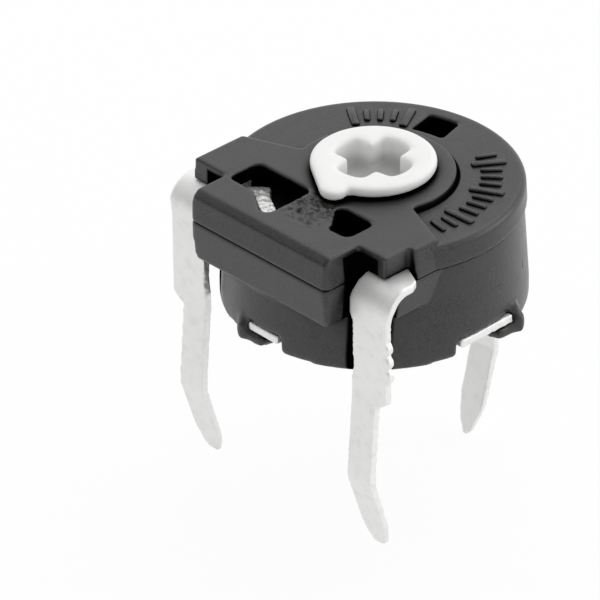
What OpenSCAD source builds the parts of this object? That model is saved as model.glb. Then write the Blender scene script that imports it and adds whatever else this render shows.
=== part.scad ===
// Open top-adjust carbon trimmer, 10 mm class, horizontal mounting.
// Frame: +Z up on the rotor axis, Z = 0 at the foot of the skirt, terminal block towards -Y.

/* [Housing] */
// Outer diameter of the round skirt at its foot
skirt_d = 10.5; // [10.3:0.05:10.6]
// Diameter of the round wall where the cover sits on it
seam_d = 10.14; // [10.0:0.02:10.2]
// Height of the joint between housing and cover
seam_z = 3.62; // [3.5:0.02:3.9]
// Wall left round the board pocket
housing_wall = 0.6; // [0.5:0.05:0.7]
// Thickness of the housing floor
floor_t = 0.7; // [0.5:0.05:1.0]
// Width of the ledge that carries the board
ledge_w = 0.55; // [0.4:0.05:0.8]
// Radius of the pillar under the middle of the board
pillar_r = 1.9; // [1.7:0.05:2.2]

/* [Terminal block] */
// Distance from the rotor axis to the front face
block_reach = 5.42; // [5.35:0.02:5.6]
// Width of the middle part of the block
block_w = 6.66; // [6.4:0.05:6.8]
// Width over the side flats of the block
flats_w = 9.72; // [9.5:0.02:9.9]
// Distance from the rotor axis to the back wall of the lead pockets
pocket_reach = 3.8; // [3.7:0.02:3.9]
// Height of the underside of the middle part
block_z = 2.1; // [1.8:0.05:2.5]
// Height of the underside of the side parts
side_z = 2.42; // [2.2:0.02:2.6]
// Corner radius of the middle part
block_corner = 0.3; // [0.1:0.05:0.4]
// Slope of the moulded faces, away from the joint
draft_deg = 6; // [0:1:8]

/* [Cover] */
// Diameter of the round part of the cover
cover_d = 10.36; // [10.3:0.02:10.4]
// Height of the round rim
rim_z = 4.5; // [4.45:0.01:4.6]
// Height of the raised plateau and boss
plateau_z = 4.76; // [4.7:0.01:4.9]
// Bevel on the outer edge of the rim
rim_bevel = 0.14; // [0.05:0.01:0.2]
// Radius of the boss round the rotor
boss_r = 2.8; // [2.6:0.05:2.95]
// Height of the room under the cover plate
room_z = 4.15; // [4.12:0.01:4.2]
// Bevel along the front edge of the block
front_bevel = 0.2; // [0.1:0.02:0.3]
// How far the right side is set back over its terminal
side_relief = 0.36; // [0.2:0.02:0.45]
// Length of the set-back at the right side
relief_len = 1.1; // [0.8:0.05:1.2]

/* [Windows] */
// Distance of the front windows' far edge from the axis
window_far = 2.45; // [2.3:0.05:2.5]
// Distance of the front windows' near edge from the axis, at the outer ends
window_near = 3.85; // [3.6:0.05:3.9]
// How much further the left window reaches towards the bridge
window_skew = 0.7; // [0.4:0.05:0.75]
// Outer end of the left window
window_left = 3.05; // [2.9:0.05:3.2]
// Outer end of the right window
window_right = 2.6; // [2.3:0.05:2.8]
// Left edge of the bridge between the windows
bridge_left = 0.4; // [0.3:0.05:0.6]
// Right edge of the bridge between the windows, at its far end
bridge_right = 1.0; // [0.9:0.05:1.2]
// How much further the bridge's right edge reaches at its near end
bridge_slant = 0.6; // [0:0.05:0.7]
// How much further the left window reaches than the right one at the near edge
window_extra = 0.1; // [0:0.05:0.4]
// Distance from the middle plane where the left window's near edge turns towards the bridge
window_knee = 1.75; // [1.4:0.05:2.0]
// Corner radius of the windows
window_corner = 0.3; // [0.2:0.05:0.4]
// Inner radius of the rear window
rear_in_r = 3.4; // [3.3:0.05:3.5]
// Outer radius of the rear window
rear_out_r = 4.5; // [4.3:0.05:4.55]
// First edge of the rear window, round the axis
rear_from_deg = 93; // [90:1:96]
// Last edge of the rear window, round the axis
rear_to_deg = 114; // [110:1:118]
// How much each side of the rear window leans in towards the rim
rear_lean_deg = 3; // [0:1:5]

/* [Rotor] */
// Radius of the rotor head
head_r = 2.16; // [2.0:0.02:2.2]
// Height of the top of the rotor
head_z = 5.27; // [5.2:0.01:5.35]
// Gap between rotor head and boss
head_gap = 0.08; // [0.05:0.01:0.1]
// Radius of the barrel that turns in the cover
barrel_r = 1.75; // [1.65:0.01:1.8]
// Radial clearance of the barrel in the cover
barrel_clear = 0.06; // [0.02:0.01:0.1]
// Radius of the pivot pin
pivot_r = 0.6; // [0.5:0.02:0.65]
// Radial clearance of the pivot in the hub
pivot_clear = 0.05; // [0.02:0.01:0.1]
// Arm width of the cross recess
recess_w = 1.16; // [0.9:0.02:1.3]
// Length of the cross recess from one round tip to the opposite one
recess_len = 2.76; // [2.4:0.02:2.9]
// Depth of the cross recess
recess_depth = 1.0; // [0.5:0.05:1.0]
// Reach of the pointer from the axis
pointer_reach = 2.8; // [2.6:0.02:2.84]
// Radius of the pointer's round end
pointer_r = 0.48; // [0.3:0.01:0.52]
// Direction of the pointer round the axis
pointer_deg = -79; // [-90:1:-60]
// Direction of one arm of the cross recess, from the pointer
recess_turn_deg = -5; // [-45:1:45]
// Side of the square key that drives the wiper
key_w = 1.5; // [1.3:0.05:1.6]

/* [Wiper] */
// Thickness of the wiper sheet
wiper_t = 0.12; // [0.1:0.01:0.15]
// Radius of the wiper's disc
wiper_r = 1.62; // [1.5:0.02:1.7]
// Radius of the outer contact
contact_r = 3.3; // [3.2:0.05:3.4]
// Running gap under the contacts
contact_gap = 0.04; // [0.02:0.01:0.06]
// Width of the wiper arm
arm_w = 0.7; // [0.5:0.05:0.8]
// Slot between the two fingers of the arm
arm_slot = 0.14; // [0.1:0.02:0.2]
// Outer radius of the stop that limits the arm's travel
stop_r = 2.6; // [2.4:0.05:2.7]
// Angle that the arm turns through between its stops
travel_deg = 235; // [220:1:240]

/* [Board and track] */
// Thickness of the board
board_t = 0.8; // [0.6:0.05:1.0]
// Gap round the board
board_clear = 0.05; // [0.02:0.01:0.1]
// Thickness of the printed track and pads
track_t = 0.05; // [0.04:0.01:0.08]
// Width of the carbon track
track_w = 0.8; // [0.6:0.05:0.9]
// Radius of each terminal rivet's shank
rivet_r = 0.25; // [0.2:0.01:0.3]
// Radius of each terminal rivet's head
rivet_head_r = 0.38; // [0.34:0.01:0.4]
// Height of each terminal rivet's head
rivet_head_h = 0.17; // [0.1:0.01:0.19]
// Distance of each terminal rivet from the middle plane
rivet_x = 3.75; // [3.7:0.01:3.8]
// Distance of each terminal rivet in front of the axis
rivet_y = 2.75; // [2.7:0.01:2.8]

/* [Leads] */
// Thickness of the terminal sheet
lead_t = 0.3; // [0.25:0.01:0.32]
// Width of the lead tails
lead_w = 1.1; // [1.0:0.02:1.2]
// Distance from the middle plane to the inner edge of a front lead
lead_in_x = 3.58; // [3.55:0.01:3.62]
// Radius of the tongue of a terminal round its rivet
tongue_r = 0.46; // [0.42:0.01:0.48]
// Inner radius of a terminal's crimp finger
finger_in_r = 3.48; // [3.45:0.01:3.6]
// Outer radius of a terminal's crimp finger
finger_out_r = 4.0; // [3.9:0.01:4.05]
// Width of the wide upper part of a front lead
blade_w = 1.62; // [1.5:0.02:1.7]
// How far the ear at the bend stands out beside the blade
ear_out = 0.14; // [0.05:0.01:0.2]
// Distance from the axis to the front face of the front leads
lead_reach = 4.5; // [4.45:0.01:4.6]
// Inside radius of the front leads' bend
bend_r = 0.65; // [0.5:0.05:0.7]
// Inside radius of the rear lead's bend
rear_bend_r = 0.2; // [0.15:0.01:0.25]
// Height of the shoulder above the board, negative below the skirt
shoulder_z = -0.35; // [-0.4:0.01:-0.2]
// Height of the kink in the front leads
kink_z = -3.5; // [-3.9:0.05:-3.3]
// Outward offset of the kink
kink_out = 0.24; // [0.1:0.01:0.3]
// Inward offset of the tips, measured from the straight part
tip_in = 0.7; // [0.5:0.02:0.8]
// Height of the tips of the front leads
tip_z = -6.6; // [-7:0.05:-6]
// Extra length of the rear lead
rear_extra = 1.15; // [0:0.05:1.2]

/* [Collector] */
// Underside of the collector plate
plate_z = 0.35; // [0.3:0.01:0.4]
// Radius of the round middle of the plate
plate_r = 2.6; // [2.2:0.05:3.0]
// Width of the side tabs of the plate
tab_w = 2.4; // [2:0.05:2.5]
// Sideways offset of the side tabs
tab_shift = 0.26; // [0:0.02:0.3]
// How far the tabs stay inside the skirt
tab_inset = 0.05; // [0.03:0.01:0.1]
// Width of the front tab
front_tab_w = 1.4; // [1.2:0.05:1.5]
// Clearance round the tabs in the skirt notches
notch_clear = 0.1; // [0.06:0.01:0.15]
// Distance from the axis to the middle of the rear lead
rear_reach = 5.08; // [5.0:0.02:5.2]
// Outer radius of the collector hub's tube
hub_r = 0.92; // [0.85:0.01:1.0]
// Radius of the collector hub's flange
hub_flange_r = 1.45; // [1.3:0.02:1.6]
// Thickness of the collector hub's flange
hub_flange_t = 0.16; // [0.12:0.01:0.18]

/* [Hidden] */
$fn = 96;
eps = 0.01;
far = 20;

skirt_r = skirt_d / 2;
seam_r = seam_d / 2;
cover_r = cover_d / 2;
pocket_r = seam_r - housing_wall;
board_r = pocket_r - board_clear;
track_z = seam_z - track_t;
board_z = track_z - board_t;
plate_top = plate_z + lead_t;
floor_top = plate_top + floor_t;
skirt_in_r = skirt_r - 0.7;
flats_x = flats_w / 2;
block_x = block_w / 2;
strip_top = seam_z + lead_t;
draft = tan(draft_deg);
// Board ears beside the front of the pocket, where the terminals are riveted
board_ear_x = rivet_x + rivet_head_r + 0.1;
board_ear_y = rivet_y + rivet_head_r + 0.08;
// Room in the cover round the tongues, and in front of the board
room_x = rivet_x + tongue_r + 0.05;
room_y = rivet_y + tongue_r + 0.05;
front_room_x = 2.9;
front_room_y = block_reach - 0.85;
// The plateau's back edge runs from the boss out to the side flats
plateau_in = [2.6, 0.75];
plateau_out_y = 1.65;
// Track runs round the back from one end pad to the other
pad_from_deg = -72;
track_from_deg = -36;
stop_in_r = 1.95;
// Melted stakes stand this far below the foot, cover this much of a tab, and root this far past the notch
stake_drop = 0.1;
stake_cover = 0.75;
stake_root = 0.15;
// Half the height of the leads' kink, the thinning at their tips, and the length of the tips' taper
kink_half = 0.25;
tip_thin = 0.08;
tip_taper = 0.9;
// Clearances of a terminal in its seat
seat_side = 0.15;
seat_back = 0.05;
seat_front = 0.1;
// Room under the board for a rivet's turned end, and round it
tail_room = 0.35;
rivet_clear = 0.1;
// Outer edges of the wide part of a front lead and of its ear, and where its bend ends on the joint
blade_out_x = lead_in_x + blade_w;
ear_x = blade_out_x + ear_out;
bend_end_y = lead_reach - lead_t - bend_r;
terminal_back_y = 2.72;
// Crimp finger of a terminal, on its end pad
finger_to_deg = -70;
finger_root_deg = -42;
rivet_reach = norm([rivet_x, rivet_y]);
wiper_deg = pointer_deg + 180;
black = [0.09, 0.09, 0.095];
tinned = [0.78, 0.78, 0.77];

function arc(r, from, to, steps, cx = 0, cy = 0) =
    [for (i = [0:steps]) let(a = from + (to - from) * i / steps) [cx + r * cos(a), cy + r * sin(a)]];

// Upright plate: a YZ outline, extruded along X from x0 to x1
module along_x(x0, x1) {
    translate([x0, 0, 0]) rotate([90, 0, 90]) linear_extrude(x1 - x0) children();
}

// Upright plate: an XZ outline, extruded along Y from y0 to y1
module along_y(y0, y1) {
    translate([0, y1, 0]) rotate([90, 0, 0]) linear_extrude(y1 - y0) children();
}

// Ring sector in plan
module sector(r0, r1, from, to) {
    polygon(concat(arc(r1, from, to, 24), arc(r0, to, from, 24)));
}

// Prism with sides that lean in by the draft angle, away from the joint
module drafted(half_w, z_far) {
    lean = abs(z_far - seam_z) * draft;
    along_y(-far, far)
        polygon([[-half_w, seam_z], [half_w, seam_z], [half_w - lean, z_far], [lean - half_w, z_far]]);
}

// Front face that leans in by the draft angle
module drafted_front(z_far) {
    lean = abs(z_far - seam_z) * draft;
    along_x(-far, far)
        polygon([[0, seam_z], [-block_reach, seam_z], [lean - block_reach, z_far], [0, z_far]]);
}

// Side parts of the block, from the joint to z_far, with flats and lead pockets in front
module side_parts(z_far, front_y, back_y) {
    intersection() {
        translate([-flats_x, -front_y, min(seam_z, z_far)])
            cube([2 * flats_x, front_y - back_y, abs(z_far - seam_z)]);
        drafted(flats_x, z_far);
    }
}

// Middle part of the block, from the joint to z_far, with round corners
module middle_part(z_far) {
    corner_x = block_x - block_corner;
    intersection() {
        translate([0, 0, min(seam_z, z_far)]) linear_extrude(abs(z_far - seam_z))
            polygon(concat([[block_x, 0], [-block_x, 0]],
                arc(block_corner, 180, 270, 6, -corner_x, block_corner - block_reach),
                arc(block_corner, 270, 360, 6, corner_x, block_corner - block_reach)));
        drafted(block_x, z_far);
        drafted_front(z_far);
    }
}

// Plan of the board: a disc with two ears at the front
module board_plan(grow) {
    circle(board_r + grow);
    translate([-board_ear_x - grow, -board_ear_y - grow]) square([2 * (board_ear_x + grow), board_ear_y]);
}

// Notch in the skirt, seen from +Y at its back face
module notch(w, shift = 0) {
    translate([shift - w / 2, skirt_in_r - 1, -1]) cube([w, 3, plate_top + 1]);
}

module housing() {
    color(black) difference() {
        union() {
            rotate_extrude()
                polygon([[0, 0], [skirt_r - 0.05, 0], [skirt_r, 0.15], [skirt_r, 0.6],
                    [seam_r, seam_z], [0, seam_z]]);
            side_parts(side_z, bend_end_y, 0.9);
            middle_part(block_z);
        }
        // Board pocket, and the hollow under the board
        translate([0, 0, board_z]) linear_extrude(far) board_plan(board_clear);
        translate([0, 0, floor_top]) difference() {
            cylinder(r = pocket_r - ledge_w, h = far);
            translate([0, 0, -eps]) cylinder(r = pillar_r, h = board_z - floor_top + eps);
        }
        // Hollow foot and collector hub bore
        translate([0, 0, -1]) cylinder(r = skirt_in_r, h = plate_top + 1);
        cylinder(r = hub_r, h = far);
        // Room for the rivets' turned ends
        both_sides() translate([rivet_x, -rivet_y, board_z - tail_room])
            cylinder(r = rivet_head_r + rivet_clear, h = far);
        // Skirt notches: front, sides and rear
        rotate(180) notch(front_tab_w + 2 * notch_clear);
        rotate(-90) notch(tab_w + 2 * notch_clear, -tab_shift);
        rotate(90) notch(tab_w + 2 * notch_clear, -tab_shift);
        notch(lead_w + 4 * notch_clear);
    }
    color(black) {
        stake(tab_shift + tab_w / 2);
        rotate(180) stake(tab_shift + tab_w / 2);
        mirror([0, 1, 0]) rotate(90) stake(front_tab_w / 2);
    }
}

// Stake melted over the end of a tab, seen at the +X side: it holds the collector plate
module stake(tab_end) {
    stake_from = tab_end - stake_cover;
    stake_to = tab_end + notch_clear + stake_root;
    knob = 0.3;
    // The lump stays just clear of the tab's edge
    near = tab_end + 0.02 - stake_to;
    translate([skirt_in_r - 0.1, stake_from, -stake_drop])
        cube([skirt_r - skirt_in_r + 0.15, stake_to - stake_from, plate_z + stake_drop]);
    // Lump at the closed end
    translate([skirt_r, stake_to, -stake_drop]) {
        linear_extrude(plate_top + 0.05)
            polygon([[-2 * knob, near], [0.1, near], [0.2, 0], [0, knob], [-2 * knob, knob]]);
        linear_extrude(plate_top + 0.35)
            polygon([[-2 * knob, 0.5 * near], [-0.1, 0.75 * near],
                [-0.05, 0.5 * knob], [-2 * knob, 0.6 * knob]]);
    }
}

module cover_shell() {
    intersection() {
        union() {
            rotate_extrude() polygon([[0, seam_z], [cover_r, seam_z], [cover_r - 0.04, rim_z - rim_bevel],
                [cover_r - rim_bevel - 0.04, rim_z], [0, rim_z]]);
            side_parts(plateau_z, pocket_reach, 0);
            middle_part(plateau_z);
            translate([0, 0, seam_z]) cylinder(r = boss_r, h = plateau_z - seam_z);
        }
        // The plateau stops at its slanting back edge; the rim runs on below it
        union() {
            translate([-far, -far, 0]) cube([2 * far, 2 * far, rim_z]);
            cylinder(r = boss_r, h = far);
            linear_extrude(far) polygon([[-far, -far], [far, -far], [far, -plateau_out_y],
                [flats_x, -plateau_out_y], [plateau_in.x, -plateau_in.y], [-plateau_in.x, -plateau_in.y],
                [-flats_x, -plateau_out_y], [-far, -plateau_out_y]]);
        }
    }
}

module cover() {
    color(black) difference() {
        cover_shell();
        // Room for wiper and rivets
        cylinder(r = pocket_r, h = room_z);
        translate([-room_x, -room_y, 0]) cube([2 * room_x, room_y, room_z]);
        translate([-front_room_x, -front_room_y, 0]) cube([2 * front_room_x, front_room_y, room_z]);
        // Bore for the rotor barrel
        cylinder(r = barrel_r + barrel_clear, h = far);
        // Set-back over the right terminal
        translate([flats_x - side_relief, -far, 0])
            cube([far, far - pocket_reach + relief_len, far]);
        // Seats for the two terminals
        both_sides() {
            translate([lead_in_x - seat_side, -far, 0])
                cube([far, far - terminal_back_y + seat_back, strip_top]);
            translate([front_room_x - seat_back, -bend_end_y - seat_front, 0])
                cube([far, bend_end_y - terminal_back_y, strip_top]);
        }
        // Bevel along the front edge
        translate([0, -block_reach + (plateau_z - seam_z) * draft, plateau_z]) rotate([45, 0, 0])
            cube([far, front_bevel * sqrt(2), front_bevel * sqrt(2)], center = true);
        windows();
    }
    color(black) travel_stop();
}

// Rib under the bridge: the wiper's arm meets one end of it at each end of its travel
module travel_stop() {
    arm_half_deg = asin(arm_w / 2 / stop_in_r);
    stop_half_deg = (360 - travel_deg) / 2 - arm_half_deg - 1;
    difference() {
        translate([0, 0, track_z + track_t + 0.1]) linear_extrude(room_z - track_z - track_t)
            sector(stop_in_r, stop_r, -90 - stop_half_deg, -90 + stop_half_deg);
        windows();
    }
}

// Plan of a front window: far edge straight, near edge turned towards the bridge at a knee, corners round
module window_plan(outer_x, bridge_x, near, skew, slant) {
    in_x = bridge_x + window_corner;
    out_x = outer_x - window_corner;
    far_y = -window_far - window_corner;
    near_y = -near + window_corner;
    polygon(concat(
        arc(window_corner, 180, 90, 5, in_x, far_y),
        arc(window_corner, 90, 0, 5, out_x, far_y),
        arc(window_corner, 0, -75, 5, out_x, near_y),
        skew > 0 ? [[window_knee, -near]] : [],
        arc(window_corner, -75, -180, 5, in_x + slant, near_y - skew)));
}

module windows() {
    linear_extrude(far) {
        mirror([1, 0, 0]) window_plan(window_left, bridge_left, window_near, window_skew, 0);
        window_plan(window_right, bridge_right, window_near - window_extra, 0, bridge_slant);
        polygon(concat(
            arc(rear_out_r, rear_from_deg + rear_lean_deg, rear_to_deg - rear_lean_deg, 12),
            arc(rear_in_r, rear_to_deg, rear_from_deg, 12)));
    }
}

// Draws a right-hand shape on the right, and mirrored on the left
module both_sides() {
    children();
    mirror([1, 0, 0]) children();
}

module track_board() {
    color([0.36, 0.22, 0.12]) translate([0, 0, board_z]) linear_extrude(board_t) difference() {
        board_plan(0);
        circle(hub_r);
        both_sides() translate([rivet_x, -rivet_y]) circle(rivet_r);
    }
}

module carbon_track() {
    color([0.07, 0.07, 0.08]) translate([0, 0, track_z]) linear_extrude(track_t)
        sector(contact_r - track_w / 2, contact_r + track_w / 2, track_from_deg, 180 - track_from_deg);
}

module end_pad() {
    color([0.66, 0.66, 0.66]) translate([0, 0, track_z]) linear_extrude(track_t) difference() {
        intersection() {
            union() {
                sector(contact_r - track_w / 2, far, pad_from_deg, track_from_deg);
                sector(contact_r + track_w / 2 + 0.05, far, pad_from_deg, track_from_deg + 9);
            }
            board_plan(0);
        }
        translate([rivet_x, -rivet_y]) circle(rivet_r);
    }
}
module end_pad_right() { end_pad(); }
module end_pad_left() { mirror([1, 0, 0]) end_pad(); }

// Flat part of a front terminal: tongue round the rivet, and the strip to the bend
module terminal_flat() {
    ear_back = terminal_back_y + 0.33;
    ear_corner = 0.3;
    neck_x = rivet_x - tongue_r - 0.04;
    tooth_r = 0.13;
    tooth_deg = 6;
    translate([0, 0, seam_z]) linear_extrude(lead_t) difference() {
        union() {
            translate([rivet_x, -rivet_y]) circle(tongue_r);
            polygon([[neck_x, -rivet_y], [rivet_x, -rivet_y + tongue_r],
                [room_x, -terminal_back_y + seat_back / 2], [flats_x - side_relief, -terminal_back_y],
                [ear_x - ear_corner / 2, -ear_back],
                [ear_x, -ear_back - ear_corner], [ear_x, -bend_end_y], [lead_in_x, -bend_end_y],
                [neck_x - 0.07, 0.15 - bend_end_y]]);
            sector(finger_in_r, rivet_reach, finger_root_deg - 8, finger_root_deg);
            sector(finger_in_r, finger_out_r, finger_to_deg, finger_root_deg);
            // Crimped teeth at the finger's end
            for (tooth = [0:2]) rotate(finger_to_deg + tooth_deg * tooth)
                translate([finger_in_r + tooth_r * tooth, 0]) circle(tooth_r);
        }
        translate([rivet_x, -rivet_y]) circle(rivet_r);
    }
}

// YZ outline of a front blade: bend, straight part, kink and tip
module blade_side() {
    outer = bend_r + lead_t;
    y_face = -lead_reach;
    y_in = y_face + lead_t;
    polygon(concat(
        [[y_face + outer, strip_top]],
        arc(outer, 90, 180, 10, y_face + outer, strip_top - outer),
        [[y_face, shoulder_z],
         [y_face - kink_out, kink_z + kink_half], [y_face - kink_out, kink_z - kink_half],
         [y_face + tip_in, tip_z], [y_in + tip_in - tip_thin, tip_z],
         [y_in - kink_out, kink_z - kink_half], [y_in - kink_out, kink_z + kink_half], [y_in, shoulder_z]],
        arc(bend_r, 180, 90, 8, y_in + bend_r, strip_top - lead_t - bend_r)));
}

// XZ outline of a front blade: ear at the bend, waist, shoulder, tail and blunt tip
module blade_front() {
    step = blade_w - lead_w;
    tail_out = lead_in_x + lead_w;
    // Heights below the joint where the ear ends, and where the inner edge narrows and widens again
    ear_end = [seam_z - 0.35, seam_z - 0.9];
    wide_end = [seam_z - 0.5, seam_z - 1.0];
    waist = [seam_z - 1.3, 0.5];
    polygon([[lead_in_x, strip_top + eps], [ear_x, strip_top + eps], [ear_x, ear_end[0]],
        [blade_out_x, ear_end[1]], [blade_out_x, shoulder_z],
        [tail_out + 0.3 * step, shoulder_z - 0.5 * step], [tail_out, shoulder_z - 0.6 * step],
        [tail_out, tip_z + tip_taper],
        [tail_out - 0.2 * lead_w, tip_z + 0.2 * tip_taper], [tail_out - 0.36 * lead_w, tip_z],
        [lead_in_x + 0.28 * lead_w, tip_z], [lead_in_x + 0.1 * lead_w, tip_z + 0.45 * tip_taper],
        [lead_in_x, tip_z + tip_taper], [lead_in_x, waist[1] - 0.4], [lead_in_x + 0.07, waist[1]],
        [lead_in_x + 0.05, waist[0]], [lead_in_x - 0.1, wide_end[1]], [lead_in_x - 0.12, wide_end[0]]]);
}

module terminal() {
    color(tinned) union() {
        terminal_flat();
        intersection() {
            along_x(lead_in_x - 0.2, ear_x) blade_side();
            along_y(-far, 0) blade_front();
        }
    }
}
module terminal_right() {
    terminal();
    // Torn edge left by the tie bar
    torn_from = 0.75;
    torn_pitch = 0.52;
    torn_r = 0.28;
    color(tinned) for (mark = [0:2])
        along_y(-lead_reach + 0.02, lead_t - lead_reach - 0.02)
            translate([blade_out_x - 0.1, torn_from + torn_pitch * mark]) circle(torn_r - 0.03 * mark);
}
module terminal_left() { mirror([1, 0, 0]) terminal(); }

module terminal_rivet() {
    tail_h = 0.15;
    tail_r = rivet_r + 0.12;
    color([0.83, 0.82, 0.8]) translate([rivet_x, -rivet_y, 0]) rotate_extrude()
        polygon([[0, board_z], [tail_r, board_z - tail_h], [tail_r, board_z], [rivet_r, board_z],
            [rivet_r, strip_top], [rivet_head_r, strip_top], [rivet_head_r, strip_top + 0.4 * rivet_head_h],
            [0.7 * rivet_head_r, strip_top + rivet_head_h], [0, strip_top + rivet_head_h]]);
}
module terminal_rivet_right() { terminal_rivet(); }
module terminal_rivet_left() { mirror([1, 0, 0]) terminal_rivet(); }

// YZ outline of the rear lead, from the plate to its tip
module rear_side() {
    outer = rear_bend_r + lead_t;
    y_out = rear_reach + lead_t / 2;
    y_in = y_out - lead_t;
    rear_kink = kink_z - 0.6 * rear_extra;
    rear_tip = tip_z - rear_extra;
    polygon(concat(
        [[plate_r, plate_z], [y_in - rear_bend_r, plate_z]],
        arc(rear_bend_r, 90, 0, 8, y_in - rear_bend_r, plate_z - rear_bend_r),
        [[y_in, shoulder_z],
         [y_in + kink_out, rear_kink + kink_half], [y_in + kink_out, rear_kink - kink_half],
         [y_in - tip_in + tip_thin, rear_tip], [y_out - tip_in, rear_tip],
         [y_out + kink_out, rear_kink - kink_half], [y_out + kink_out, rear_kink + kink_half],
         [y_out, shoulder_z]],
        arc(outer, 0, 90, 10, y_out - outer, plate_top - outer),
        [[plate_r, plate_top]]));
}

module rear_front() {
    rear_tip = tip_z - rear_extra;
    half = lead_w / 2;
    polygon([[-half, plate_top + eps], [half, plate_top + eps], [half, rear_tip + 1.2 * tip_taper],
        [0.4 * half, rear_tip + 0.15 * tip_taper], [0.15 * half, rear_tip], [-0.2 * half, rear_tip],
        [-0.7 * half, rear_tip + 0.55 * tip_taper], [-half, rear_tip + 1.5 * tip_taper]]);
}

module collector_plate() {
    color(tinned) union() {
        translate([0, 0, plate_z]) linear_extrude(lead_t) difference() {
            union() {
                circle(plate_r);
                translate([-lead_w / 2, 0]) square([lead_w, plate_r + 0.2]);
                for (turn = [0, 180]) rotate(turn)
                    translate([0, tab_shift - tab_w / 2]) square([skirt_r - tab_inset, tab_w]);
                translate([-front_tab_w / 2, tab_inset - skirt_r]) square([front_tab_w, skirt_r - tab_inset]);
            }
            circle(hub_r);
        }
        intersection() {
            along_x(-lead_w / 2, lead_w / 2) rear_side();
            along_y(0, far) rear_front();
        }
    }
}

module collector_hub() {
    flare = 0.14;
    flare_r = hub_r + 0.25;
    bore_r = pivot_r + pivot_clear;
    color([0.8, 0.78, 0.72]) rotate_extrude()
        polygon([[bore_r, plate_z - flare], [flare_r, plate_z - flare], [flare_r, plate_z], [hub_r, plate_z],
            [hub_r, track_z], [hub_flange_r, track_z], [hub_flange_r, track_z + hub_flange_t],
            [bore_r, track_z + hub_flange_t]]);
}

wiper_z = room_z - head_gap - wiper_t;
module rotor() {
    head_low = plateau_z + head_gap;
    barrel_z = wiper_z + wiper_t;
    color([0.93, 0.93, 0.91]) difference() {
        union() {
            translate([0, 0, head_low]) cylinder(r = head_r, h = head_z - head_low);
            translate([0, 0, head_low]) linear_extrude(head_z - head_low) rotate(pointer_deg) pointer_plan();
            translate([0, 0, barrel_z]) cylinder(r = barrel_r, h = head_low - barrel_z);
            translate([-key_w / 2, -key_w / 2, track_z + hub_flange_t + contact_gap])
                cube([key_w, key_w, barrel_z - track_z - hub_flange_t - contact_gap]);
            translate([0, 0, plate_z]) cylinder(r = pivot_r, h = barrel_z - plate_z);
        }
        translate([0, 0, head_z - recess_depth]) linear_extrude(far)
            rotate(pointer_deg + recess_turn_deg) recess_plan();
    }
}

// Pointer lobe: one side leaves the head's rim along their common tangent, the other is the round nose
module pointer_plan() {
    nose_x = pointer_reach - pointer_r;
    tangent_deg = acos((head_r - pointer_r) / nose_x);
    toward = [cos(tangent_deg), -sin(tangent_deg)];
    translate([nose_x, 0]) circle(pointer_r);
    polygon([[0, 0], head_r * toward, [nose_x, 0] + pointer_r * toward, [nose_x, 0]]);
}

// Cross with arms that end on a circle
module recess_plan() {
    intersection() {
        circle(recess_len / 2);
        for (turn = [0, 90]) rotate(turn) square([recess_len, recess_w], center = true);
    }
}

module wiper() {
    color([0.8, 0.66, 0.4]) rotate(wiper_deg) difference() {
        union() {
            translate([0, 0, wiper_z]) cylinder(r = wiper_r, h = wiper_t);
            // Outer arm, down to the track
            along_y(-arm_w / 2, arm_w / 2) arm_profile(contact_r, seam_z + contact_gap, 1);
            // Inner tongue, down to the hub flange
            mirror([1, 0, 0]) along_y(-0.3, 0.3)
                arm_profile(hub_flange_r - 0.2, track_z + hub_flange_t + contact_gap, 0);
        }
        rotate(-wiper_deg) cube([key_w, key_w, far], center = true);
        translate([wiper_r, -arm_slot / 2, 0]) cube([far, arm_slot, far]);
    }
}

// XZ outline of a spring arm with its contact bead at radius r
module arm_profile(r, low, reach) {
    start = reach > 0 ? wiper_r - 0.3 : key_w / 2 + 0.05;
    polygon([[start, wiper_z + wiper_t], [start + 0.2, wiper_z + wiper_t], [r + 0.15, low + 2 * wiper_t],
        [r + 0.15, low + wiper_t], [r + 0.05, low], [r - 0.05, low], [r - 0.2, low + wiper_t],
        [start, wiper_z]]);
}

housing();
cover();
track_board();
carbon_track();
end_pad_left();
end_pad_right();
terminal_left();
terminal_right();
terminal_rivet_left();
terminal_rivet_right();
collector_plate();
collector_hub();
rotor();
wiper();
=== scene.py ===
"""Dresses an open top-adjust carbon trimmer.

Rounds the mouldings, tins the leads, raises the marks and sets the stage.
"""

import math

import bmesh
import bpy
from bpy.props import FloatProperty, FloatVectorProperty, IntProperty, PointerProperty
from mathutils import Matrix, Vector, noise


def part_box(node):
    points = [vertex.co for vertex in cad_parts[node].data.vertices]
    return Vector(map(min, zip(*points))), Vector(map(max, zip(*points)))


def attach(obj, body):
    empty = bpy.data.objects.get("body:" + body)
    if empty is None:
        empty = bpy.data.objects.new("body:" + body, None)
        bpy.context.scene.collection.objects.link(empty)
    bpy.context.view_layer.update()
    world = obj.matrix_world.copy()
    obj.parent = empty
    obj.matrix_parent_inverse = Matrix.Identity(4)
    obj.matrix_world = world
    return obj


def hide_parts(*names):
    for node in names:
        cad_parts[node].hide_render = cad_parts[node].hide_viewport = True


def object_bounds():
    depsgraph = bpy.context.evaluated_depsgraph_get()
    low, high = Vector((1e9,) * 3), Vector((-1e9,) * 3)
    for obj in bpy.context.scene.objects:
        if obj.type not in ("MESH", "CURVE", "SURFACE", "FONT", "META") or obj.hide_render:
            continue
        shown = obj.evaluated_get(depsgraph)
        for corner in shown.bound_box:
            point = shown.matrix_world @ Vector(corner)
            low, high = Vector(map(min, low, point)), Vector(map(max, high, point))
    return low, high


bl_info = {
    "name": "Trimmer Potentiometer",
    "version": (1, 0, 0),
    "blender": (4, 5, 0),
    "location": "View3D > Sidebar > Trimmer",
    "description": "Finishes a carbon trimmer potentiometer around its packed frame",
    "category": "Object",
}

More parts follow.
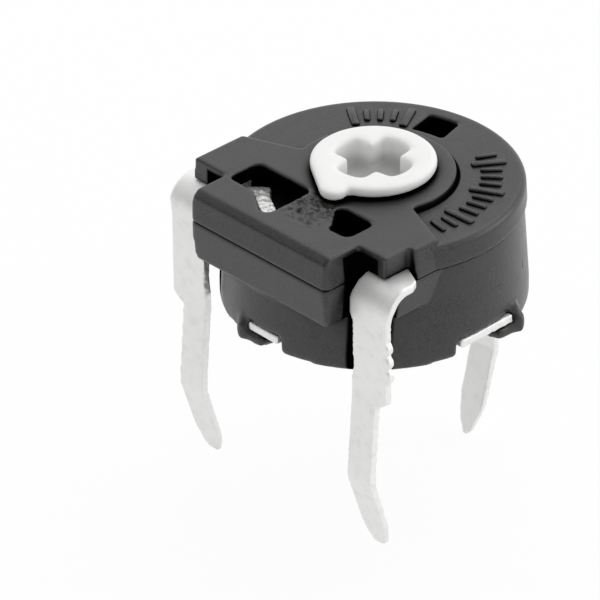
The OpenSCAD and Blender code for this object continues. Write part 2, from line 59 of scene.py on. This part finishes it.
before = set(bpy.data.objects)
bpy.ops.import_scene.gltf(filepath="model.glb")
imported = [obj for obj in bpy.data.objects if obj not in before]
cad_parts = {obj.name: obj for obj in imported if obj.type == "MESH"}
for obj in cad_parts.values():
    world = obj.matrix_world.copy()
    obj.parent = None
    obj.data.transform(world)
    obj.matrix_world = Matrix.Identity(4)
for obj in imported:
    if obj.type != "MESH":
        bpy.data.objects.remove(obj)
cad_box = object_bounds()

MM = 0.001
# Distance under which vertices are merged
WELD = 1e-7
# Triangles that a softened piece may have
MOST_TRIANGLES = 180000

# Heights and reaches read from the frame
COVER_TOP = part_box("cover")[1].z
ROTOR_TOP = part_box("rotor")[1].z
BOARD_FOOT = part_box("track_board")[0].z
BOARD_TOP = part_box("track_board")[1].z
BOARD_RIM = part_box("track_board")[1].x
PLATE_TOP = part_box("collector_plate")[1].z
LOWEST = cad_box[0][2]

# Radius of the boss under the rotor, and how far the marked field lies under the plateau, both
# in millimetres
BOSS_RADIUS = 2.8
FIELD_DROP = 0.26
# Hollows of the cover whose walls get painted shade, in millimetres: left and right, near and
# far, and how far the surface round them lies under the plateau
HOLLOWS = (
    ((-3.3, 2.9), (-4.1, -2.2), 0.0),  # front windows
    ((-2.2, 0.2), (3.1, 4.7), FIELD_DROP),  # rear window
    ((3.0, 4.2), (-4.6, -2.5), 0.1),  # right lead's notch
    ((-4.2, -3.0), (-4.6, -2.5), 0.1),  # left lead's notch
)
# Groups of marks on the cover: angle of the first mark in degrees, and how many there are
MARK_GROUPS = ((-25, 14), (119, 5))
# Lamps: name, share of the key's strength, and spread, azimuth and elevation in degrees
LAMPS = (("Key", 1.0, 60, 190, 64), ("Left", 0.6, 50, -80, 24), ("Right", 0.75, 40, 146, 16))


# ---------------------------------------------------------------- sizes and colours

class TRIMMER_PG_moulding(bpy.types.PropertyGroup):
    """The black base and cover."""
    grain: FloatProperty(
        name="Grain", description="Mesh size that the moulding is softened at",
        default=0.055 * MM, min=0.02 * MM, unit="LENGTH", precision=6)
    rounds: IntProperty(
        name="Softness", description="Rounds of smoothing that the edges get", default=10, min=0)
    dark: FloatVectorProperty(
        name="Colour", description="Colour of the black plastic",
        default=(0.011, 0.011, 0.012), min=0.0, max=1.0, subtype="COLOR")
    bloom: FloatVectorProperty(
        name="Bloom", description="Paler colour of the plastic's mottling",
        default=(0.025, 0.025, 0.026), min=0.0, max=1.0, subtype="COLOR")
    rough: FloatProperty(
        name="Rough patch", description="Height of the flash left between the windows",
        default=0.10 * MM, min=0.0, unit="LENGTH", precision=6)


class TRIMMER_PG_rotor(bpy.types.PropertyGroup):
    """The white rotor."""
    grain: FloatProperty(
        name="Grain", description="Mesh size that the rotor is softened at",
        default=0.04 * MM, min=0.02 * MM, unit="LENGTH", precision=6)
    rounds: IntProperty(
        name="Softness", description="Rounds of smoothing that the edges get", default=130, min=0)
    white: FloatVectorProperty(
        name="Colour", description="Colour of the white plastic",
        default=(0.87, 0.87, 0.855), min=0.0, max=1.0, subtype="COLOR")


class TRIMMER_PG_leads(bpy.types.PropertyGroup):
    """The tinned sheet of the leads and the collector plate."""
    grain: FloatProperty(
        name="Grain", description="Mesh size that the sheet is softened at",
        default=0.045 * MM, min=0.02 * MM, unit="LENGTH", precision=6)
    rounds: IntProperty(
        name="Softness", description="Rounds of smoothing that the edges get", default=5, min=0)
    torn: FloatProperty(
        name="Torn edges", description="Depth of the tears along the sheared edges",
        default=0.022 * MM, min=0.0, unit="LENGTH", precision=6)
    tin: FloatVectorProperty(
        name="Tin", description="Colour of the tinned surface",
        default=(0.88, 0.88, 0.87), min=0.0, max=1.0, subtype="COLOR")
    dull: FloatVectorProperty(
        name="Dull tin", description="Colour of the tin where it is dull",
        default=(0.80, 0.80, 0.79), min=0.0, max=1.0, subtype="COLOR")


class TRIMMER_PG_inside(bpy.types.PropertyGroup):
    """The board, its printed films and the metal inside."""
    # The resin, fibre, carbon and paste colours are near black: part their own dark colour, part
    # painted shade for the dim inside of the case.
    resin: FloatVectorProperty(
        name="Resin", description="Colour of the board's resin",
        default=(0.009, 0.006, 0.004), min=0.0, max=1.0, subtype="COLOR")
    fibre: FloatVectorProperty(
        name="Fibre", description="Colour of the board's paper fibres",
        default=(0.014, 0.009, 0.006), min=0.0, max=1.0, subtype="COLOR")
    carbon: FloatVectorProperty(
        name="Carbon", description="Colour of the resistive track",
        default=(0.004, 0.004, 0.005), min=0.0, max=1.0, subtype="COLOR")
    worn_carbon: FloatVectorProperty(
        name="Worn carbon", description="Colour of the track where it is rubbed",
        default=(0.008, 0.008, 0.009), min=0.0, max=1.0, subtype="COLOR")
    paste: FloatVectorProperty(
        name="Paste", description="Colour of the track's conductive ends",
        default=(0.005, 0.005, 0.005), min=0.0, max=1.0, subtype="COLOR")
    worn_paste: FloatVectorProperty(
        name="Worn paste", description="Colour of the track's ends where they are rubbed",
        default=(0.010, 0.010, 0.010), min=0.0, max=1.0, subtype="COLOR")
    brass: FloatVectorProperty(
        name="Brass", description="Colour of the hub and the rivets",
        default=(0.80, 0.74, 0.58), min=0.0, max=1.0, subtype="COLOR")
    tarnished_brass: FloatVectorProperty(
        name="Tarnished brass", description="Colour of the hub and the rivets where they are dull",
        default=(0.60, 0.50, 0.33), min=0.0, max=1.0, subtype="COLOR")
    bronze: FloatVectorProperty(
        name="Bronze", description="Colour of the wiper's spring",
        default=(0.82, 0.62, 0.36), min=0.0, max=1.0, subtype="COLOR")
    tarnished_bronze: FloatVectorProperty(
        name="Tarnished bronze", description="Colour of the wiper's spring where it is dull",
        default=(0.55, 0.38, 0.2), min=0.0, max=1.0, subtype="COLOR")


class TRIMMER_PG_marks(bpy.types.PropertyGroup):
    """The plain raised marks on the cover."""
    height: FloatProperty(
        name="Height", description="Height of the raised marks",
        default=0.10 * MM, min=0.0, unit="LENGTH", precision=6)
    inner: FloatProperty(
        name="Inner radius", description="Radius where the long marks start",
        default=3.35 * MM, min=0.0, unit="LENGTH", precision=6)
    outer: FloatProperty(
        name="Outer radius", description="Radius where the long marks end",
        default=4.55 * MM, min=0.0, unit="LENGTH", precision=6)
    step: FloatProperty(
        name="Step", description="Angle between marks",
        default=math.radians(6.8), unit="ROTATION")


class TRIMMER_PG_stage(bpy.types.PropertyGroup):
    """The camera, the lamps and the sky."""
    azimuth: FloatProperty(
        name="Azimuth", description="Camera's direction, turned from the front to the right",
        default=math.radians(46.862), unit="ROTATION")
    elevation: FloatProperty(
        name="Elevation", description="Camera's height above the horizon",
        default=math.radians(31.664), unit="ROTATION")
    roll: FloatProperty(
        name="Roll", description="Camera's roll, clockwise",
        default=math.radians(0.674), unit="ROTATION")
    distance: FloatProperty(
        name="Distance", description="Camera's distance from the target",
        default=250 * MM, unit="LENGTH")
    lens: FloatProperty(
        name="Lens", description="Focal length on a 36 mm sensor, in millimetres", default=442.7)
    right: FloatProperty(
        name="Right", description="How far the target lies right of the view's middle",
        default=2.511 * MM, unit="LENGTH", precision=6)
    above: FloatProperty(
        name="Above", description="How far the target lies above the view's middle",
        default=1.217 * MM, unit="LENGTH", precision=6)
    key: FloatProperty(
        name="Key", description="Strength of the soft key lamp", default=0.80, min=0.0)
    fill: FloatProperty(
        name="Fill", description="Strength of the sky's light", default=0.80, min=0.0)
    flag: FloatProperty(
        name="Flag", description="Share of the sky's light that is left in front",
        default=0.3, min=0.0, max=1.0)
    flag_azimuth: FloatProperty(
        name="Flag azimuth", description="Direction of the dimmed part of the sky",
        default=math.radians(-15), unit="ROTATION")
    flag_elevation: FloatProperty(
        name="Flag elevation", description="Height of the dimmed part of the sky",
        default=math.radians(35), unit="ROTATION")


class TRIMMER_PG_all(bpy.types.PropertyGroup):
    """Every size and colour of the trimmer."""
    moulding: PointerProperty(type=TRIMMER_PG_moulding)
    rotor: PointerProperty(type=TRIMMER_PG_rotor)
    leads: PointerProperty(type=TRIMMER_PG_leads)
    inside: PointerProperty(type=TRIMMER_PG_inside)
    marks: PointerProperty(type=TRIMMER_PG_marks)
    stage: PointerProperty(type=TRIMMER_PG_stage)


# ---------------------------------------------------------------- shader maths

class Wire:
    """A shader socket. Python's operators on it add Math nodes."""

    def __init__(self, graph, socket):
        self.graph = graph
        self.socket = socket

    def math(self, operation, *values):
        return self.graph.add("ShaderNodeMath", {"operation": operation}, dict(enumerate(values)))

    def __add__(self, other):
        return self.math("ADD", self, other)

    def __radd__(self, other):
        return self.math("ADD", other, self)

    def __rsub__(self, other):
        return self.math("SUBTRACT", other, self)

    def __mul__(self, other):
        return self.math("MULTIPLY", self, other)

    def __rmul__(self, other):
        return self.math("MULTIPLY", other, self)

    def __pow__(self, other):
        return self.math("POWER", self, other)

    def larger(self, other):
        return self.math("MAXIMUM", self, other)

    def smaller(self, other):
        return self.math("MINIMUM", self, other)

    def above(self, edge, width):
        """0 below edge, 1 above edge + width, and smooth between."""
        return self.graph.add("ShaderNodeMapRange", {"interpolation_type": "SMOOTHSTEP"},
                              {"Value": self, "From Min": edge, "From Max": edge + width})

    def below(self, edge, width):
        """1 below edge, 0 above edge + width, and smooth between."""
        return 1.0 - self.above(edge, width)

    def within(self, low, high, width):
        """1 between low and high, and 0 outside them, with soft sides."""
        return self.above(low, width) * self.below(high - width, width)


class Graph:
    """The nodes of a material or of the world."""

    def __init__(self, name, owners=None, coordinates="Object"):
        self.owner = (bpy.data.materials if owners is None else owners).new(name)
        self.owner.use_nodes = True
        self.tree = self.owner.node_tree
        self.tree.nodes.clear()
        self.place = self.add("ShaderNodeTexCoord", out=coordinates)

    def add(self, kind, settings=None, inputs=None, out=0):
        """Adds a node with its settings, then its inputs, and returns one of its outputs."""
        node = self.tree.nodes.new(kind)
        for name, value in (settings or {}).items():
            setattr(node, name, value)
        for name, value in (inputs or {}).items():
            if isinstance(value, Wire):
                self.tree.links.new(value.socket, node.inputs[name])
            else:
                node.inputs[name].default_value = value
        return Wire(self, node.outputs[out]) if node.outputs else None

    def axis(self, letter):
        """How far the surface lies along X, Y or Z."""
        return self.add("ShaderNodeSeparateXYZ", None, {"Vector": self.place}, out=letter)

    def ray(self, kind):
        """1 for rays of this kind, 0 for the rest."""
        return self.add("ShaderNodeLightPath", out=f"Is {kind} Ray")

    def noise(self, grain, detail=4.0, rough=0.55, stretch=None):
        """Noise whose grain is a length in metres. stretch scales the coordinates first."""
        where = self.place
        if stretch:
            where = self.add("ShaderNodeMapping", None, {"Vector": where, "Scale": stretch})
        return self.add("ShaderNodeTexNoise", None, {
            "Vector": where, "Scale": 1.0 / grain, "Detail": detail, "Roughness": rough}, out="Fac")

    def blend(self, factor, first, second):
        """A colour between first and second."""
        first, second = (value if isinstance(value, Wire) else (*value, 1.0)
                         for value in (first, second))
        return self.add("ShaderNodeMix", {"data_type": "RGBA"}, {0: factor, 6: first, 7: second},
                        out=2)

    def bump(self, height, depth, strength=1.0):
        return self.add("ShaderNodeBump", None, {
            "Height": height, "Distance": depth, "Strength": strength}, out="Normal")

    def shader(self, kind, inputs):
        """A shader node that is called ShaderNodeBsdf and the kind."""
        return self.add("ShaderNodeBsdf" + kind, None, inputs, out="BSDF")

    def mix(self, factor, first, second):
        """A shader between the first and the second."""
        return self.add("ShaderNodeMixShader", None, {0: factor, 1: first, 2: second},
                        out="Shader")

    def finish(self, shader, kind="ShaderNodeOutputMaterial"):
        """Ends the nodes in this shader and returns the material or the world."""
        self.add(kind, None, {"Surface": shader})
        return self.owner


def scaled(colour, share):
    """The colour at this share of its brightness."""
    return [share * channel for channel in colour]


# ---------------------------------------------------------------- materials

def open_to_light(graph, reach):
    """0 deep in a crevice narrower than reach, and 1 out in the open."""
    return graph.add("ShaderNodeAmbientOcclusion", {"samples": 8, "only_local": False},
                     {"Distance": reach}, out="AO")


def shaded_hollows(graph):
    """Mask of painted shade: 1 on the walls of the windows and notches and on the boss's foot."""
    x, y, z = (graph.axis(letter) for letter in "XYZ")
    soft = 0.1 * MM
    walls = sum(x.within(left * MM, right * MM, soft) * y.within(near * MM, far * MM, soft)
                * z.below(COVER_TOP - (drop + 0.14) * MM, 0.12 * MM)
                for (left, right), (near, far), drop in HOLLOWS)
    radius = (x * x + y * y) ** 0.5
    ring = radius.within((BOSS_RADIUS - 0.04) * MM, (BOSS_RADIUS + 0.16) * MM, 0.06 * MM)
    step = ring * z.below(COVER_TOP - 0.16 * MM, soft) * z.above(COVER_TOP - 0.5 * MM, soft)
    return (walls + step).smaller(1.0)


def moulded_plastic(name, dark, bloom):
    """Satin black moulded plastic: faint mottling, a fine grain, dust specks, painted shade in
    crevices and hollows.
    """
    graph = Graph(name)
    mottle = graph.noise(0.9 * MM, 5.0, 0.6)
    grain = graph.noise(0.07 * MM, 3.0, 0.7)
    specks = graph.noise(0.11 * MM, 2.0, 0.5).above(0.67, 0.05)
    body = graph.blend(mottle.above(0.3, 0.4), dark, bloom)
    grainy = graph.blend(grain.above(0.40, 0.2), body, scaled(bloom, 1.3))
    dusty = graph.blend(specks * 0.5, grainy, scaled(bloom, 2.2))
    # Painted shade: in crevices and on the hollows' walls a near-black shader takes the plastic's
    # place.
    clear_of_painted_shade = open_to_light(graph, 1.1 * MM).above(0.50, 0.36) * (1.0 - shaded_hollows(graph))
    plastic = graph.shader("Principled", {
        "Base Color": dusty,
        "Roughness": 0.21 + 0.12 * mottle + 0.10 * grain,
        "Normal": graph.bump(grain * 0.7 + mottle * 0.5, 0.012 * MM, 0.5),
    })
    crevice = graph.shader("Diffuse", {"Color": (0.001, 0.001, 0.001, 1.0)})
    return graph.finish(graph.mix(clear_of_painted_shade, crevice, plastic))


def white_plastic(name, white):
    """White moulded plastic, with painted shade that greys it deep in its recess."""
    graph = Graph(name)
    cloud = graph.noise(0.8 * MM, 3.0)
    grain = graph.noise(0.12 * MM, 2.0)
    # Painted shade: the white turns grey towards the bottom of the recess.
    clear_of_painted_shade = graph.axis("Z").above(ROTOR_TOP - 1.2 * MM, 0.8 * MM)
    clouded = graph.blend(cloud, white, scaled(white, 0.965))
    return graph.finish(graph.shader("Principled", {
        "Base Color": graph.blend(clear_of_painted_shade, scaled(white, 0.36), clouded),
        "Roughness": 0.40 + 0.12 * grain,
        "Normal": graph.bump(grain, 0.006 * MM, 0.4),
    }))


def tinned_sheet(name, tin, dull):
    """Hot-tinned sheet: smooth and pale, with faint clouds and shallow dimples."""
    graph = Graph(name)
    patches = graph.noise(0.4 * MM, 5.0, 0.65)
    dimples = graph.noise(0.34 * MM, 3.0, 0.5)
    return graph.finish(graph.shader("Principled", {
        "Base Color": graph.blend(patches.above(0.46, 0.3), tin, dull),
        "Metallic": 0.6,
        "Roughness": 0.44 + 0.10 * patches,
        "Normal": graph.bump(dimples, 0.012 * MM, 0.4),
    }))


def spring_sheet(name, bright, tarnish):
    """Rolled copper-alloy sheet with fine rolling lines and tarnish."""
    graph = Graph(name)
    lines = graph.noise(0.05 * MM, 2.0, 0.5, (1.0, 0.06, 1.0))
    tarnished = graph.noise(0.7 * MM, 4.0).above(0.5, 0.25)
    return graph.finish(graph.shader("Principled", {
        "Base Color": graph.blend(tarnished, bright, tarnish),
        "Metallic": 1.0,
        "Roughness": 0.28 + 0.2 * lines,
        "Normal": graph.bump(lines, 0.004 * MM, 0.5),
    }))


def resin_board(name, resin, fibre):
    """Phenolic paper board: short fibres in dark brown resin."""
    graph = Graph(name)
    fibres = graph.noise(0.12 * MM, 4.0, 0.65, (1.0, 0.2, 1.0))
    return graph.finish(graph.shader("Principled", {
        "Base Color": graph.blend(fibres.above(0.4, 0.3), resin, fibre),
        "Roughness": 0.5 + 0.15 * fibres,
        "Specular IOR Level": 0.2,
        "Normal": graph.bump(fibres, 0.008 * MM, 0.5),
    }))


def printed_film(name, film, worn):
    """A screen-printed film: mesh-like grain and a slightly worn surface."""
    graph = Graph(name)
    mesh = graph.add("ShaderNodeTexVoronoi", {"feature": "F1"},
                     {"Vector": graph.place, "Scale": 1.0 / (0.08 * MM)}, out="Distance")
    rubbed = graph.noise(0.5 * MM, 3.0).above(0.5, 0.3)
    return graph.finish(graph.shader("Principled", {
        "Base Color": graph.blend(rubbed, film, worn),
        "Roughness": 0.6 + 0.2 * mesh,
        "Specular IOR Level": 0.2,
        "Normal": graph.bump(mesh, 0.004 * MM, 0.4),
    }))


def studio_floor(name, pale):
    """Pale floor: it shows white to the camera and in reflections, and keeps a soft shadow."""
    graph = Graph(name)
    texture = graph.noise(6 * MM, 3.0)
    diffuse = graph.shader("Diffuse", {"Color": graph.blend(texture, pale, scaled(pale, 0.99))})
    glow = graph.add("ShaderNodeEmission", None, {"Color": (1.0, 1.0, 1.0, 1.0), "Strength": 1.0},
                     out="Emission")
    seen = graph.ray("Camera").larger(graph.ray("Glossy")).larger(graph.ray("Transmission"))
    return graph.finish(graph.mix(seen * 0.93, diffuse, glow))


# ---------------------------------------------------------------- mesh helpers

def evaluated_mesh(item):
    """The mesh of an object with its modifiers applied."""
    depsgraph = bpy.context.evaluated_depsgraph_get()
    return bpy.data.meshes.new_from_object(item.evaluated_get(depsgraph))


def soft_solid(node_name, grain, rounds):
    """A copy of a CAD node in fine even faces, with its edges rounded by smoothing."""
    mesh = bmesh.new()
    mesh.from_mesh(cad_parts[node_name].data)
    bmesh.ops.remove_doubles(mesh, verts=mesh.verts, dist=WELD)
    data = bpy.data.meshes.new("Sharp")
    mesh.to_mesh(data)
    mesh.free()
    draft = bpy.data.objects.new("Draft", data)
    bpy.context.scene.collection.objects.link(draft)
    remesh = draft.modifiers.new("Even faces", "REMESH")
    remesh.mode = "VOXEL"
    remesh.voxel_size = grain
    smooth = draft.modifiers.new("Soft edges", "SMOOTH")
    smooth.factor = 0.5
    smooth.iterations = rounds
    thin = draft.modifiers.new("Fewer faces", "DECIMATE")
    thin.ratio = 1.0
    even = evaluated_mesh(draft)
    triangles = 2 * len(even.polygons)
    if triangles > MOST_TRIANGLES:
        thin.ratio = MOST_TRIANGLES / triangles
        even = evaluated_mesh(draft)
    soft = bmesh.new()
    soft.from_mesh(even)
    bpy.data.objects.remove(draft)
    return soft


def true_round(mesh):
    """Lifts the shallow flats that the frame's facets leave on the round wall."""
    upright = 0.3
    band = 0.05 * MM
    flat_depth = 0.022 * MM
    block_back = -2.0 * MM
    share_inside = 0.85
    layers = {}
    for vert in mesh.verts:
        if abs(vert.normal.z) < upright and vert.co.xy.length > BOARD_RIM:
            layers.setdefault(round(vert.co.z / band), []).append(vert)
    for layer in layers.values():
        radii = sorted(vert.co.xy.length for vert in layer if vert.co.y > block_back)
        wall = radii[int(share_inside * len(radii))] if radii else 0.0
        for vert in layer:
            reach = vert.co.xy.length
            if abs(reach - wall) < flat_depth:
                vert.co.x *= wall / reach
                vert.co.y *= wall / reach


def melt_stakes(mesh):
    """The lumps that hold the collector plate, slumped as melted plastic sets."""
    top = PLATE_TOP + 0.3 * MM
    beside = 4.75 * MM
    radius = 4.98 * MM
    rounds = 24
    lumps = [vert for vert in mesh.verts
             if vert.co.z < top and max(abs(vert.co.x), abs(vert.co.y)) > beside
             and vert.co.xy.length > radius]
    for _ in range(rounds):
        bmesh.ops.smooth_vert(mesh, verts=lumps, factor=0.5,
                              use_axis_x=True, use_axis_y=True, use_axis_z=True)


def roughen_bridge(mesh, height):
    """Torn flash on top of the bridge between the front windows, fading at its edges."""
    left, right = -0.5 * MM, 1.5 * MM
    near, far = -4.3 * MM, -2.5 * MM
    fade = 0.3 * MM
    lowest = COVER_TOP - 1.0 * MM
    facing_up = 0.3
    for vert in mesh.verts:
        x, y, z = vert.co
        inside = min(x - left, right - x, y - near, far - y)
        if inside > 0.0 and z > lowest and vert.normal.z > facing_up:
            coarse = noise.noise(vert.co / (0.22 * MM))
            fine = noise.noise(vert.co / (0.10 * MM))
            vert.co.z += height * min(1.0, inside / fade) * (0.8 * coarse + 0.7 * fine)


def tear_edges(mesh, depth):
    """Sheared edges of the sheet, uneven where the punch tore it, and a ragged crimp finger."""
    sideways = 0.6
    finger_reach = BOARD_RIM - 0.3 * MM
    finger_tear = 1.6 * depth
    for vert in mesh.verts:
        crimped = vert.co.z > BOARD_TOP and vert.co.xy.length < finger_reach
        sheared = abs(vert.normal.x) > sideways and vert.co.z < BOARD_FOOT
        if not (crimped or sheared):
            continue
        rough = noise.noise(vert.co / (0.16 * MM)) + 0.7 * noise.noise(vert.co / (0.08 * MM))
        if crimped:
            vert.co += finger_tear * rough * vert.normal
        else:
            vert.co.x += depth * rough


def add_bar(mesh, transform, length, width, height):
    """A bar along X with round edges, its middle at the transform's place."""
    size = Matrix.Diagonal((length, width, height, 1.0))
    made = bmesh.ops.create_cube(mesh, size=1.0, matrix=transform @ size)
    edges = dict.fromkeys(edge for vert in made["verts"] for edge in vert.link_edges)
    bmesh.ops.bevel(mesh, geom=list(edges), offset=0.35 * height, offset_type="OFFSET",
                    affect="EDGES", segments=2, profile=0.5, material=-1, clamp_overlap=True)


def add_object(mesh, name, material):
    """Makes an object of the bmesh, with its material."""
    data = bpy.data.meshes.new(name)
    mesh.to_mesh(data)
    mesh.free()
    data.materials.append(material)
    item = bpy.data.objects.new(name, data)
    bpy.context.scene.collection.objects.link(item)
    return item


def finish_piece(mesh, name, material, body, replaced=()):
    """Makes a smooth object of the bmesh and ties it to the frame."""
    piece = add_object(mesh, name, material)
    piece.data.shade_smooth()
    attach(piece, body)
    if replaced:
        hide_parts(*replaced)


def paint_nodes(material, *node_names):
    """Gives these CAD nodes their material."""
    for node_name in node_names:
        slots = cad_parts[node_name].data.materials
        slots.clear()
        slots.append(material)


def heading(azimuth, elevation):
    """The direction at these angles in radians, turned from the front to the right and up."""
    return Vector((math.sin(azimuth) * math.cos(elevation),
                   -math.cos(azimuth) * math.cos(elevation), math.sin(elevation)))


# ---------------------------------------------------------------- operators

class TRIMMER_OT_case(bpy.types.Operator):
    """Soften the base and the cover."""
    bl_idname = "trimmer.case"
    bl_label = "Base and Cover"

    def execute(self, context):
        sizes = context.scene.trimmer.moulding
        plastic = moulded_plastic("Black moulding", sizes.dark, sizes.bloom)
        base = soft_solid("housing", sizes.grain, sizes.rounds)
        true_round(base)
        melt_stakes(base)
        finish_piece(base, "housing_moulding", plastic, "case", ["housing"])
        cover = soft_solid("cover", sizes.grain, sizes.rounds)
        true_round(cover)
        roughen_bridge(cover, sizes.rough)
        finish_piece(cover, "cover_moulding", plastic, "case", ["cover"])
        return {"FINISHED"}


class TRIMMER_OT_rotor(bpy.types.Operator):
    """Soften the rotor's edges and recess."""
    bl_idname = "trimmer.rotor"
    bl_label = "Rotor"

    def execute(self, context):
        sizes = context.scene.trimmer.rotor
        mesh = soft_solid("rotor", sizes.grain, sizes.rounds)
        finish_piece(mesh, "rotor_moulding", white_plastic("White moulding", sizes.white),
                     "rotor_set", ["rotor"])
        return {"FINISHED"}


class TRIMMER_OT_leads(bpy.types.Operator):
    """Soften the cut edges of the two terminals and the collector plate."""
    bl_idname = "trimmer.leads"
    bl_label = "Leads"

    def execute(self, context):
        sizes = context.scene.trimmer.leads
        tin = tinned_sheet("Tinned sheet", sizes.tin, sizes.dull)
        for node_name in ("terminal_left", "terminal_right", "collector_plate"):
            mesh = soft_solid(node_name, sizes.grain, sizes.rounds)
            tear_edges(mesh, sizes.torn)
            finish_piece(mesh, node_name + "_sheet", tin, "case", [node_name])
        return {"FINISHED"}


class TRIMMER_OT_inside(bpy.types.Operator):
    """Finish the board, the track and the metal inside."""
    bl_idname = "trimmer.inside"
    bl_label = "Inside"

    def execute(self, context):
        sizes = context.scene.trimmer.inside
        paint_nodes(resin_board("Phenolic board", sizes.resin, sizes.fibre), "track_board")
        paint_nodes(printed_film("Carbon film", sizes.carbon, sizes.worn_carbon), "carbon_track")
        paint_nodes(printed_film("Conductive paste", sizes.paste, sizes.worn_paste),
                    "end_pad_left", "end_pad_right")
        paint_nodes(spring_sheet("Plated brass", sizes.brass, sizes.tarnished_brass),
                    "terminal_rivet_left", "terminal_rivet_right", "collector_hub")
        paint_nodes(spring_sheet("Spring bronze", sizes.bronze, sizes.tarnished_bronze), "wiper")
        return {"FINISHED"}


class TRIMMER_OT_marks(bpy.types.Operator):
    """Raise plain scale marks on the cover."""
    bl_idname = "trimmer.marks"
    bl_label = "Raised Marks"

    def execute(self, context):
        sizes = context.scene.trimmer.marks
        field = COVER_TOP - FIELD_DROP * MM
        every_long = 4
        long_width, short_width = 0.28 * MM, 0.2 * MM
        mesh = bmesh.new()
        for first, count in MARK_GROUPS:
            for number in range(count):
                inner, outer, width = sizes.inner, sizes.outer, long_width
                if number % every_long:
                    inner, outer, width = inner + 0.25 * MM, outer - 0.2 * MM, short_width
                turn = Matrix.Rotation(math.radians(first) + sizes.step * number, 4, "Z")
                spot = turn @ Matrix.Translation(((inner + outer) / 2, 0.0, field))
                add_bar(mesh, spot, outer - inner, width, 2 * sizes.height)
        finish_piece(mesh, "scale_marks", bpy.data.materials["Black moulding"],
                     "case")
        return {"FINISHED"}


class TRIMMER_OT_stage(bpy.types.Operator):
    """Set the camera, the lamps, the sky and the floor."""
    bl_idname = "trimmer.stage"
    bl_label = "Stage"

    def execute(self, context):
        sizes = context.scene.trimmer.stage
        self.add_camera(context.scene, sizes)
        self.add_floor()
        self.add_lamps(context.scene, sizes)
        context.scene.world = self.make_sky(sizes)
        context.scene.view_settings.view_transform = "Standard"
        return {"FINISHED"}

    def add_camera(self, scene, sizes):
        target = Vector((0.0, 0.0, 1.0 * MM))
        back = heading(sizes.azimuth, sizes.elevation)
        level_right = Vector((math.cos(sizes.azimuth), math.sin(sizes.azimuth), 0.0))
        level_up = back.cross(level_right)
        right = math.cos(sizes.roll) * level_right - math.sin(sizes.roll) * level_up
        up = math.sin(sizes.roll) * level_right + math.cos(sizes.roll) * level_up
        camera = bpy.data.objects.new("Camera", bpy.data.cameras.new("Camera"))
        camera.data.lens = sizes.lens
        camera.data.sensor_width = 36.0
        camera.data.clip_start = 10 * MM
        turn = Matrix((right, up, back)).transposed().to_4x4()
        spot = target + sizes.distance * back - sizes.right * right - sizes.above * up
        camera.matrix_world = Matrix.Translation(spot) @ turn
        scene.collection.objects.link(camera)
        scene.camera = camera

    def add_floor(self):
        reach = 600 * MM
        clearance = 0.02 * MM
        mesh = bmesh.new()
        bmesh.ops.create_grid(mesh, x_segments=1, y_segments=1, size=reach)
        bmesh.ops.translate(mesh, verts=mesh.verts, vec=(0.0, 0.0, LOWEST - clearance))
        floor = add_object(mesh, "Floor", studio_floor("Studio floor", (0.9, 0.9, 0.9)))

    def add_lamps(self, scene, sizes):
        for name, share, spread, azimuth, elevation in LAMPS:
            data = bpy.data.lights.new(name, "SUN")
            data.energy = share * sizes.key
            data.angle = math.radians(spread)
            lamp = bpy.data.objects.new(name, data)
            direction = heading(math.radians(azimuth), math.radians(elevation))
            lamp.rotation_euler = direction.to_track_quat("Z", "Y").to_euler()
            scene.collection.objects.link(lamp)

    def make_sky(self, sizes):
        """White to the camera. As light it is full at the back and dim towards the front."""
        sky = Graph("Sky", bpy.data.worlds, "Generated")
        front = heading(sizes.flag_azimuth, sizes.flag_elevation)
        facing = sky.add("ShaderNodeVectorMath", {"operation": "DOT_PRODUCT"},
                         {0: sky.place, 1: front}, out="Value")
        gloss = sky.ray("Glossy")
        light = 1.0 - (1.0 - sizes.flag) * facing.above(0.0, 0.8) * (0.35 + 0.65 * gloss)
        lit = light * (sizes.fill + (1.0 - sizes.fill) * gloss)
        seen = sky.ray("Camera").larger(sky.ray("Transmission"))
        background = sky.add("ShaderNodeBackground", None, {
            "Color": (1.0, 1.0, 1.0, 1.0), "Strength": lit + seen * (1.0 - lit)}, out="Background")
        return sky.finish(background, "ShaderNodeOutputWorld")


class TRIMMER_PT_panel(bpy.types.Panel):
    """The steps that build the trimmer's looks, in order."""
    bl_idname = "TRIMMER_PT_panel"
    bl_label = "Trimmer"
    bl_space_type = "VIEW_3D"
    bl_region_type = "UI"
    bl_category = "Trimmer"

    def draw(self, context):
        for step in STEPS:
            self.layout.operator(step.bl_idname)
        for group in TRIMMER_PG_all.__annotations__:
            sizes = getattr(context.scene.trimmer, group)
            box = self.layout.box()
            for name in sizes.__annotations__:
                box.prop(sizes, name)


GROUPS = (TRIMMER_PG_moulding, TRIMMER_PG_rotor, TRIMMER_PG_leads, TRIMMER_PG_inside,
          TRIMMER_PG_marks, TRIMMER_PG_stage, TRIMMER_PG_all)
STEPS = (TRIMMER_OT_case, TRIMMER_OT_rotor, TRIMMER_OT_leads, TRIMMER_OT_inside,
         TRIMMER_OT_marks, TRIMMER_OT_stage)


def register():
    for item in (*GROUPS, *STEPS, TRIMMER_PT_panel):
        bpy.utils.register_class(item)
    bpy.types.Scene.trimmer = PointerProperty(type=TRIMMER_PG_all)


def unregister():
    del bpy.types.Scene.trimmer
    for item in reversed((*GROUPS, *STEPS, TRIMMER_PT_panel)):
        bpy.utils.unregister_class(item)


def main():
    register()
    bpy.ops.trimmer.case()
    bpy.ops.trimmer.rotor()
    bpy.ops.trimmer.leads()
    bpy.ops.trimmer.inside()
    bpy.ops.trimmer.marks()
    bpy.ops.trimmer.stage()


if __name__ == "__main__":
    main()
